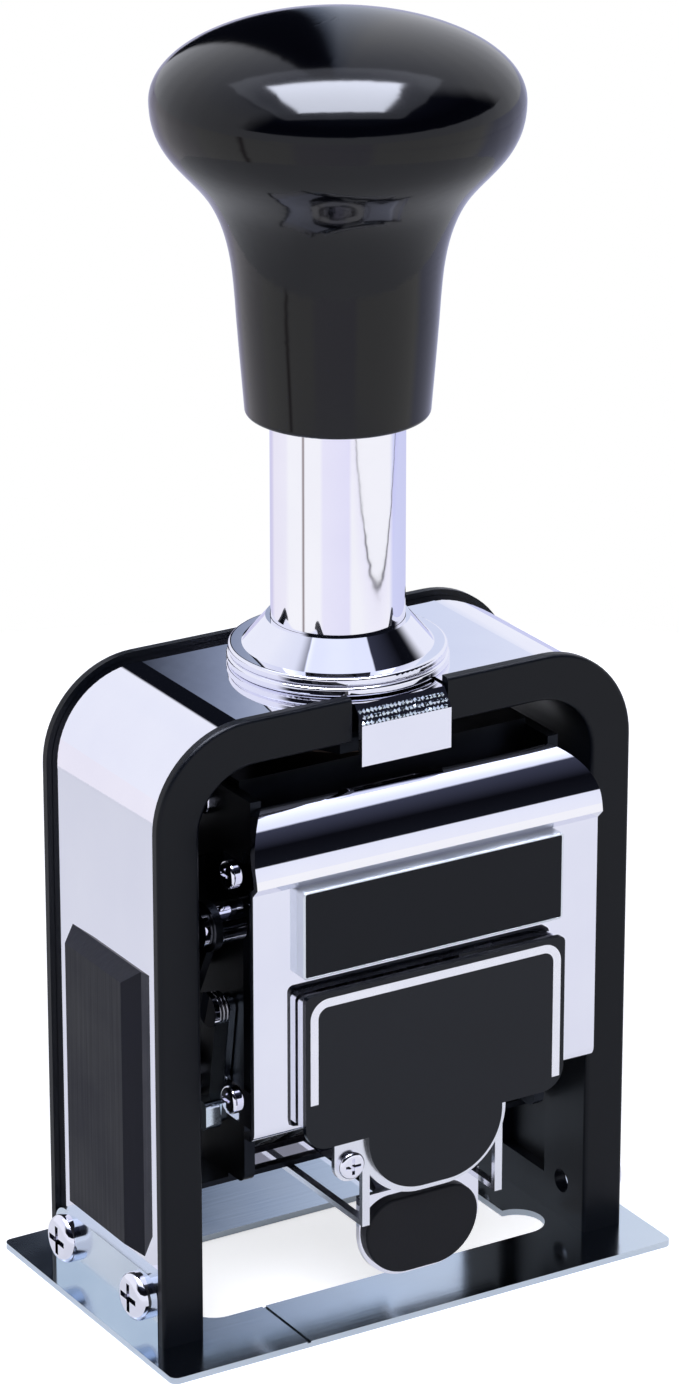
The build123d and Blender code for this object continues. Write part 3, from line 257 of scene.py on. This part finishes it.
def tone_scale(tree, value, stops):
    """A colour that follows a value through places and hex tones."""
    scale = add_node(tree, "ShaderNodeValToRGB", {"Fac": value})
    elements = scale.color_ramp.elements
    while len(elements) < len(stops):
        elements.new(1.0)
    for element, (at, tone) in zip(elements, stops):
        element.position = at
        element.color = linear(tone)
    return scale.outputs["Color"]


def make_floor():
    """A plain pale table; its own colour keeps the shadow, and a lift makes it white for the eye."""
    mesh = bpy.data.meshes.new("floor")
    rim = [math.tau * step / FLOOR_STEPS for step in range(FLOOR_STEPS)]
    mesh.from_pydata([(FLOOR_RADIUS * math.cos(a), FLOOR_RADIUS * math.sin(a), 0) for a in rim], [],
                     [range(FLOOR_STEPS)])
    floor = bpy.data.objects.new("floor", mesh)
    bpy.context.scene.collection.objects.link(floor)
    material = bpy.data.materials.new("table_paint")
    material.use_nodes = True
    tree = material.node_tree
    shader = tree.nodes["Principled BSDF"]
    shader.inputs["Base Color"].default_value = linear(FLOOR_TONE)
    shader.inputs["Roughness"].default_value = FLOOR_ROUGHNESS
    shader.inputs["Specular IOR Level"].default_value = 0.0
    rays = add_node(tree, "ShaderNodeLightPath")
    eye = add_node(tree, "ShaderNodeMath", {0: rays.outputs["Is Camera Ray"], 1: FLOOR_LIFT},
                   operation="MULTIPLY")
    lift = add_node(tree, "ShaderNodeMath", {0: rays.outputs["Is Glossy Ray"], 1: FLOOR_GLOSSY_LIFT,
                                             2: eye.outputs[0]}, operation="MULTIPLY_ADD")
    glow = add_node(tree, "ShaderNodeEmission", {"Color": linear("FFFFFF"), "Strength": lift.outputs[0]})
    both = add_node(tree, "ShaderNodeAddShader", {0: shader.outputs[0], 1: glow.outputs[0]})
    tree.links.new(both.outputs[0], tree.nodes["Material Output"].inputs["Surface"])
    mesh.materials.append(material)


# ---------------------------------------------------------------------------
# Finishes
# ---------------------------------------------------------------------------

# Specular levels of the blacks, under the usual 0.5 so that the white table doesn't grey them
SOFT_GLOSS = 0.20
ENAMEL_GLOSS = 0.30
KNOB_GLOSS = 0.35
CLOUD = (0.3, 0.7)                    # the part of the noise's range over which the polish runs


def finish(name, tones, polish, patch, grain=None, depth=0.0, along=(1, 1, 1), **values):
    """A finish whose tone and polish wander over patches, with an optional fine grain pressed into it.

    tones: two hex values; polish: lowest and highest roughness; patch and grain: sizes in mm; depth in mm;
    along stretches the grain, so that 0.05 draws it out twenty times along that axis.
    """
    material = bpy.data.materials.new(name)
    material.use_nodes = True
    tree = material.node_tree
    shader = tree.nodes["Principled BSDF"]
    for key, value in values.items():
        shader.inputs[key.replace("_", " ")].default_value = value
    here = add_node(tree, "ShaderNodeTexCoord")
    cloud = add_node(tree, "ShaderNodeTexNoise", {"Vector": here.outputs["Object"], "Scale": 1 / (patch * MM),
                                                  "Detail": 3.0, "Roughness": 0.55})
    rough = add_node(tree, "ShaderNodeMapRange", {"Value": cloud.outputs["Fac"], "From Min": CLOUD[0],
                                                  "From Max": CLOUD[1], "To Min": polish[0],
                                                  "To Max": polish[1]})
    tree.links.new(rough.outputs["Result"], shader.inputs["Roughness"])
    tone = add_node(tree, "ShaderNodeMix", {0: cloud.outputs["Fac"], 6: linear(tones[0]),
                                            7: linear(tones[1])}, data_type="RGBA")
    tree.links.new(tone.outputs[2], shader.inputs["Base Color"])
    if grain:
        drawn = add_node(tree, "ShaderNodeMapping", {"Vector": here.outputs["Object"], "Scale": along})
        fine = add_node(tree, "ShaderNodeTexNoise", {"Vector": drawn.outputs["Vector"],
                                                     "Scale": 1 / (grain * MM), "Detail": 2.0})
        press = add_node(tree, "ShaderNodeBump", {"Height": fine.outputs["Fac"], "Distance": depth * MM,
                                                  "Strength": 1.0})
        tree.links.new(press.outputs["Normal"], shader.inputs["Normal"])
    return material


def make_finishes():
    """Every finish by name.

    Rolling, brushing, shearing and grinding marks are drawn 0.2 to 0.5 mm apart, coarser than real ones,
    which would be too fine to show.
    """
    made = {}
    # Stove enamel on a die-cast frame: satin black with a faint blue cast and a slight orange peel of 1.4 mm
    made["stove_enamel"] = finish("stove_enamel", ("05080E", "080B13"), (0.30, 0.40), 14, grain=1.4,
                                  depth=0.006, Specular_IOR_Level=SOFT_GLOSS)
    # Chromium over polished steel: a mirror with a cool tint, its polish a little duller in cloudy patches
    made["chrome"] = finish("chrome", ("ECECF7", "F6F6FD"), (0.018, 0.045), 11, grain=5.0, depth=0.004,
                            Metallic=1.0)
    # Bright nickel on cold-rolled sheet: bluer and softer than chrome, with faint lines from the rolling mill
    made["nickel_sheet"] = finish("nickel_sheet", ("C9D6E2", "DEE7EF"), (0.10, 0.16), 12, grain=0.5,
                                  depth=0.003, along=(0.05, 1, 1), Metallic=1.0)
    # Black-oxide steel plate: dark and oily, reflections broad
    made["black_oxide"] = finish("black_oxide", ("1B1D22", "2A2D34"), (0.30, 0.45), 6, grain=0.3, depth=0.004,
                                 Metallic=1.0)
    # Turned and ground steel: grey, with a fine even grain
    made["ground_steel"] = finish("ground_steel", ("A7AAB0", "C2C5CB"), (0.20, 0.32), 3, grain=0.22,
                                  depth=0.004, Metallic=1.0)
    # Hardened type steel: darker in patches, where ink has stayed
    made["type_steel"] = finish("type_steel", ("6E7178", "9EA1A8"), (0.24, 0.40), 1.6, grain=0.2, depth=0.004,
                                Metallic=1.0)
    # Drawn spring wire: smooth, plain grey
    made["spring_wire"] = finish("spring_wire", ("8C8C90", "B0B0B4"), (0.16, 0.28), 2.5, grain=0.15,
                                 depth=0.003, Metallic=1.0)
    # Phenolic knob, moulded and buffed: deep black under a clear gloss
    made["buffed_phenolic"] = finish("buffed_phenolic", ("020206", "030409"), (0.075, 0.11), 16, grain=7.0,
                                     depth=0.004, Specular_IOR_Level=KNOB_GLOSS)
    # Gloss enamel on the pad shield: blue-black, smooth, a little softer than the knob
    made["gloss_enamel"] = finish("gloss_enamel", ("070B13", "0A0E18"), (0.20, 0.28), 10, grain=1.8,
                                  depth=0.003, Specular_IOR_Level=ENAMEL_GLOSS)
    # Silk-screened satin black on the bare name plate
    made["satin_plate"] = finish("satin_plate", ("070A11", "0B0E16"), (0.34, 0.44), 7, grain=0.25,
                                 depth=0.002, along=(0.04, 1, 1), Specular_IOR_Level=SOFT_GLOSS)
    # Anodised aluminium sheet, sheared: satin silver with the shear's fine upright marks on the plate's rim
    made["satin_aluminium"] = finish("satin_aluminium", ("DCE2E9", "EEF2F6"), (0.40, 0.50), 5, grain=0.3,
                                     depth=0.004, along=(1, 1, 0.1), Metallic=1.0)
    # Silver foil, hot-stamped in the shield's pressed line: bright, dulled where the stamp was cooler
    made["silver_foil"] = finish("silver_foil", ("F0F0F6", "FBFBFF"), (0.20, 0.30), 4, Metallic=1.0)
    # Chromium over a brushed bracket: bright, its reflections blurred by the brushing
    made["satin_chrome"] = finish("satin_chrome", ("E4E6EE", "F2F3F8"), (0.20, 0.28), 5, grain=0.25,
                                  depth=0.003, along=(0.05, 1, 1), Metallic=1.0)
    # Black ABS tab, moulded with a fine spark texture
    made["spark_abs"] = finish("spark_abs", ("0E0F14", "16171D"), (0.42, 0.52), 3, grain=0.28, depth=0.010,
                               Specular_IOR_Level=SOFT_GLOSS)
    # Grey-brown vulcanised fibre washer: dry and matt
    made["fibre"] = finish("fibre", ("6B5A50", "83716A"), (0.7, 0.85), 1.2, grain=0.3, depth=0.02)
    # Ink felt, soaked: matt, with loose fibres 0.4 mm apart
    made["ink_felt"] = finish("ink_felt", ("0C0B14", "191724"), (0.85, 0.98), 1.0, grain=0.4, depth=0.10)
    # Rubber grip, moulded with fine upright draw lines 0.9 mm apart: dull blue-grey black
    made["moulded_rubber"] = finish("moulded_rubber", ("12131A", "1C1D27"), (0.42, 0.55), 9, grain=0.9,
                                    depth=0.05, along=(1, 1, 0.03), Specular_IOR_Level=SOFT_GLOSS)
    # Printing ink dried on the raised figures: black, half matt
    made["dried_ink"] = finish("dried_ink", ("08080A", "141418"), (0.45, 0.6), 0.8)
    return made


NODE_FINISH = {
    "stove_enamel": ["frame"],
    "chrome": ["chrome_band", "base_screws", "collar_ring", "collar", "latch", "plunger_tube", "front_cover",
               "cover_screws", "shield_screw", "pad_cassette", "case_screws", "pivot_studs", "lever_screw"],
    "nickel_sheet": ["base_plate", "rear_cover", "repeat_lever", "feed_swing"],
    "black_oxide": ["side_plate_left", "side_plate_right", "pad_cradle", "detent_comb", "guide_shoes",
                    "bridge", "tie_bars", "collar_nut"],
    "ground_steel": ["spring_key", "spring_seat", "tube_plug", "bridge_pin", "wheel_shaft", "shaft_clips",
                     "shaft_bushes", "pawl_rod", "feed_pawl"],
    "type_steel": [f"{part}_{k}" for part in ("number_wheel", "ratchet") for k in range(1, WHEELS + 1)],
    "spring_wire": ["main_spring", "lever_spring"],
    "buffed_phenolic": ["knob"],
    "gloss_enamel": ["shield"],
    "satin_plate": ["name_plate"],
    "silver_foil": ["shield_trim"],
    "satin_chrome": ["pad_bracket"],
    "spark_abs": ["handle_grip"],
    "fibre": ["buffer_washer"],
    "ink_felt": ["ink_pad"],
    "moulded_rubber": ["side_grips"],
}


def dress_nodes(finishes):
    for name, members in NODE_FINISH.items():
        for member in members:
            for slot in nodes[member].material_slots:
                slot.material = finishes[name]


# ---------------------------------------------------------------------------
# Pieces
# ---------------------------------------------------------------------------

WHEEL_AXIS = 29.1                     # mm above the base's underside
WHEEL_FACE = 11.0
FIGURES = 10
FIGURE_WIDTH = 2.0
FIGURE_HEIGHT = 3.5
FIGURE_RISE = 0.09                    # raised above its block
FIGURE_SINK = 0.05

PLATE_ROUND = 0.5
PLATE_EDGE = 0.12                     # bevel of the plate's bright rim, whose flat is as wide again
PLATE_STEP = 0.3                      # width of the step from the rim to the face, as a share of the bevel
PLATE_FACE_DROP = 0.03                # the black face lies this much below the rim

# The knurled part of the latch's bevel, from its lower to its upper edge
KNURL_LOW = Vector((0, -15.40, 74.4))
KNURL_HIGH = Vector((0, -14.20, 75.98))
KNURL_WIDTH = 11.6
KNURL_PITCH = 0.50
KNURL_RISE = 0.20
KNURL_FOOT = 0.62                     # radius of a point's foot, as a share of the pitch
KNURL_TILT = math.radians(9)          # worn points lean up to this much
KNURL_SEED = 4

MERGE = 1e-6                          # m, corners nearer than this are one


def plain_piece(name, mesh, material, body):
    """A finished piece whose place is in its mesh."""
    piece = bpy.data.objects.new(name, mesh)
    bpy.context.scene.collection.objects.link(piece)
    mesh.materials.clear()
    mesh.materials.append(material)
    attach(piece, body)
    return piece


def figure_mesh(figure):
    """One raised figure as flat type, centred on the origin, in mm, reading along +X with its top to +Y."""
    data = bpy.data.curves.new("figure", "FONT")
    data.body = str(figure)
    data.size = 1.0
    data.extrude = 0.5
    data.resolution_u = 3
    holder = bpy.data.objects.new("figure", data)
    bpy.context.scene.collection.objects.link(holder)
    mesh = bpy.data.meshes.new_from_object(holder.evaluated_get(bpy.context.evaluated_depsgraph_get()))
    bpy.data.objects.remove(holder)
    corners = [Vector(v.co) for v in mesh.vertices]
    low = Vector((min(c.x for c in corners), min(c.y for c in corners), 0))
    high = Vector((max(c.x for c in corners), max(c.y for c in corners), 0))
    rise = FIGURE_RISE + FIGURE_SINK
    stretch = (FIGURE_WIDTH / (high.x - low.x), FIGURE_HEIGHT / (high.y - low.y), rise, 1)
    mesh.transform(Matrix.Diagonal(stretch) @ Matrix.Translation(-(low + high) / 2))
    return mesh


def wheel_figures(k, meshes, material):
    """The ten figures of one wheel: mirror-wise on their blocks, so that they print the right way round."""
    box_low, box_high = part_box(f"number_wheel_{k}")
    centre = Vector(((box_low.x + box_high.x) / 2, 0, WHEEL_AXIS * MM))
    all_faces = bmesh.new()
    for figure, mesh in enumerate(meshes):
        reach = WHEEL_FACE + (FIGURE_RISE - FIGURE_SINK) / 2
        outward = Matrix.Translation((0, 0, -reach)) @ Matrix.Diagonal((1, 1, -1, 1))
        turned = Matrix.Rotation(math.tau * figure / FIGURES, 4, "X") @ outward
        part = bmesh.new()
        part.from_mesh(mesh)
        part.transform(Matrix.Translation(centre) @ Matrix.Scale(MM, 4) @ turned)
        bmesh.ops.recalc_face_normals(part, faces=part.faces)
        one = bpy.data.meshes.new("one")
        part.to_mesh(one)
        part.free()
        all_faces.from_mesh(one)
        bpy.data.meshes.remove(one)
    whole = bpy.data.meshes.new(f"figures_{k}")
    all_faces.to_mesh(whole)
    all_faces.free()
    plain_piece(f"figures_{k}", whole, material, f"wheel_{k}")


def rounded_outline(half_width, half_height, radius, steps=6):
    """Corner points of a rounded rectangle, counter-clockwise, as pairs."""
    points = []
    for turn, (side, end) in enumerate(((1, 1), (-1, 1), (-1, -1), (1, -1))):
        for step in range(steps + 1):
            angle = math.pi / 2 * (turn + step / steps)
            points.append((side * (half_width - radius) + radius * math.cos(angle),
                           end * (half_height - radius) + radius * math.sin(angle)))
    return points


def bare_plate(metal, face):
    """The name plate: a bright stamped blank with a bevelled rim and a bare black face set into its front."""
    low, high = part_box("name_plate")
    middle, half = (low + high) / 2 / MM, (high - low) / 2 / MM
    shape = bmesh.new()
    rings = []
    for inset, depth in ((0, high.y / MM), (0, low.y / MM + PLATE_EDGE), (PLATE_EDGE, low.y / MM),
                         (2 * PLATE_EDGE, low.y / MM),
                         ((2 + PLATE_STEP) * PLATE_EDGE, low.y / MM + PLATE_FACE_DROP)):
        outline = rounded_outline(half.x - inset, half.z - inset, PLATE_ROUND - inset)
        rings.append([shape.verts.new(Vector((middle.x + x, depth, middle.z + z)) * MM) for x, z in outline])
    for ring, following in zip(rings, rings[1:]):
        for i in range(len(ring)):
            j = (i + 1) % len(ring)
            shape.faces.new((ring[i], ring[j], following[j], following[i]))
    shape.faces.new(rings[0])
    shape.faces.new(rings[-1])
    bmesh.ops.recalc_face_normals(shape, faces=shape.faces)
    mesh = bpy.data.meshes.new("bare_plate")
    shape.to_mesh(mesh)
    shape.free()
    piece = plain_piece("bare_plate", mesh, metal, "plunger")
    mesh.materials.append(face)
    mesh.polygons[-1].material_index = 1      # the inset front, made last
    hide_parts("name_plate")


def knurl_tree(material):
    """Rows of small four-sided points over a flat field, every second row shifted by half a pitch."""
    tree = bpy.data.node_groups.new("knurl", "GeometryNodeTree")
    sizes = {}
    for name in ("Width", "Length", "Pitch", "Rise"):
        sizes[name] = tree.interface.new_socket(name, in_out="INPUT",
                                                socket_type="NodeSocketFloat").identifier
    sizes["Seed"] = tree.interface.new_socket("Seed", in_out="INPUT", socket_type="NodeSocketInt").identifier
    tree.interface.new_socket("Geometry", in_out="OUTPUT", socket_type="NodeSocketGeometry")
    given = add_node(tree, "NodeGroupInput")
    counts = []
    for name in ("Width", "Length"):
        share = add_node(tree, "ShaderNodeMath", {0: given.outputs[name], 1: given.outputs["Pitch"]},
                         operation="DIVIDE")
        counts.append(add_node(tree, "ShaderNodeMath", {0: share.outputs[0]}, operation="ROUND"))
    field = add_node(tree, "GeometryNodeMeshGrid", {"Size X": given.outputs["Width"],
                                                    "Size Y": given.outputs["Length"],
                                                    "Vertices X": counts[0].outputs[0],
                                                    "Vertices Y": counts[1].outputs[0]})
    index = add_node(tree, "GeometryNodeInputIndex")
    odd = add_node(tree, "ShaderNodeMath", {0: index.outputs[0], 1: counts[1].outputs[0]}, operation="MODULO")
    row = add_node(tree, "ShaderNodeMath", {0: odd.outputs[0], 1: 2.0}, operation="MODULO")
    shift = add_node(tree, "ShaderNodeMath", {0: row.outputs[0], 1: given.outputs["Pitch"]},
                     operation="MULTIPLY")
    half_shift = add_node(tree, "ShaderNodeMath", {0: shift.outputs[0], 1: 0.5}, operation="MULTIPLY")
    aside = add_node(tree, "ShaderNodeCombineXYZ", {"X": half_shift.outputs[0]})
    moved = add_node(tree, "GeometryNodeSetPosition", {"Geometry": field.outputs["Mesh"],
                                                       "Offset": aside.outputs[0]})
    foot = add_node(tree, "ShaderNodeMath", {0: given.outputs["Pitch"], 1: KNURL_FOOT},
                    operation="MULTIPLY")
    point = add_node(tree, "GeometryNodeMeshCone", {"Vertices": 4, "Radius Bottom": foot.outputs[0],
                                                    "Depth": given.outputs["Rise"]})
    turned = add_node(tree, "FunctionNodeRandomValue", {0: (-KNURL_TILT, -KNURL_TILT, 0),
                                                        1: (KNURL_TILT, KNURL_TILT, math.pi / 2),
                                                        "Seed": given.outputs["Seed"]},
                      data_type="FLOAT_VECTOR")
    spread = add_node(tree, "GeometryNodeInstanceOnPoints", {"Points": moved.outputs["Geometry"],
                                                             "Instance": point.outputs["Mesh"],
                                                             "Rotation": turned.outputs["Value"]})
    real = add_node(tree, "GeometryNodeRealizeInstances", {"Geometry": spread.outputs["Instances"]})
    dressed = add_node(tree, "GeometryNodeSetMaterial", {"Geometry": real.outputs["Geometry"],
                                                         "Material": material})
    add_node(tree, "NodeGroupOutput", {"Geometry": dressed.outputs["Geometry"]})
    return tree, sizes


def latch_knurl(material):
    """The gripping knurl pressed into the latch's bevel."""
    along = KNURL_HIGH - KNURL_LOW
    tree, sizes = knurl_tree(material)
    holder = bpy.data.objects.new("latch_knurl_field", bpy.data.meshes.new("field"))
    bpy.context.scene.collection.objects.link(holder)
    modifier = holder.modifiers.new("knurl", "NODES")
    modifier.node_group = tree
    for name, value in (("Width", KNURL_WIDTH - KNURL_PITCH), ("Length", along.length - KNURL_PITCH),
                        ("Pitch", KNURL_PITCH), ("Rise", KNURL_RISE), ("Seed", KNURL_SEED)):
        modifier[sizes[name]] = value
    mesh = bpy.data.meshes.new_from_object(holder.evaluated_get(bpy.context.evaluated_depsgraph_get()))
    bpy.data.objects.remove(holder)
    across, up = Vector((1, 0, 0)), along.normalized()
    slope = Matrix((across, up, across.cross(up))).transposed()
    middle = (KNURL_LOW + KNURL_HIGH) / 2 - Vector((KNURL_PITCH / 4, 0, 0))
    mesh.transform(Matrix.Scale(MM, 4) @ Matrix.Translation(middle) @ slope.to_4x4())
    plain_piece("latch_knurl", mesh, material, "latch_button")


def pressed_spring():
    """The main spring, its corners merged, as a piece of its own that rides on the stand."""
    source = nodes["main_spring"]
    shape = bmesh.new()
    shape.from_mesh(source.data)
    shape.transform(source.matrix_world)
    bmesh.ops.remove_doubles(shape, verts=shape.verts, dist=MERGE)
    mesh = bpy.data.meshes.new("pressed_spring")
    shape.to_mesh(mesh)
    shape.free()
    piece = plain_piece("pressed_spring", mesh, source.material_slots[0].material, "stand")
    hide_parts("main_spring")
    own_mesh(piece)


make_camera()
make_world()
make_floor()
softbox("key", KEY_TURN, KEY_RISE, LAMP_REACH, KEY_SIZE, KEY_POWER)
softbox("side", SIDE_TURN, SIDE_RISE, LAMP_REACH, SIDE_SIZE, SIDE_POWER)
bpy.context.scene.view_settings.view_transform = "Standard"
finishes = make_finishes()
dress_nodes(finishes)
figures = [figure_mesh(figure) for figure in range(FIGURES)]
for wheel in range(1, WHEELS + 1):
    wheel_figures(wheel, figures, finishes["dried_ink"])
bare_plate(finishes["satin_aluminium"], finishes["satin_plate"])
latch_knurl(finishes["nickel_sheet"])
pressed_spring()
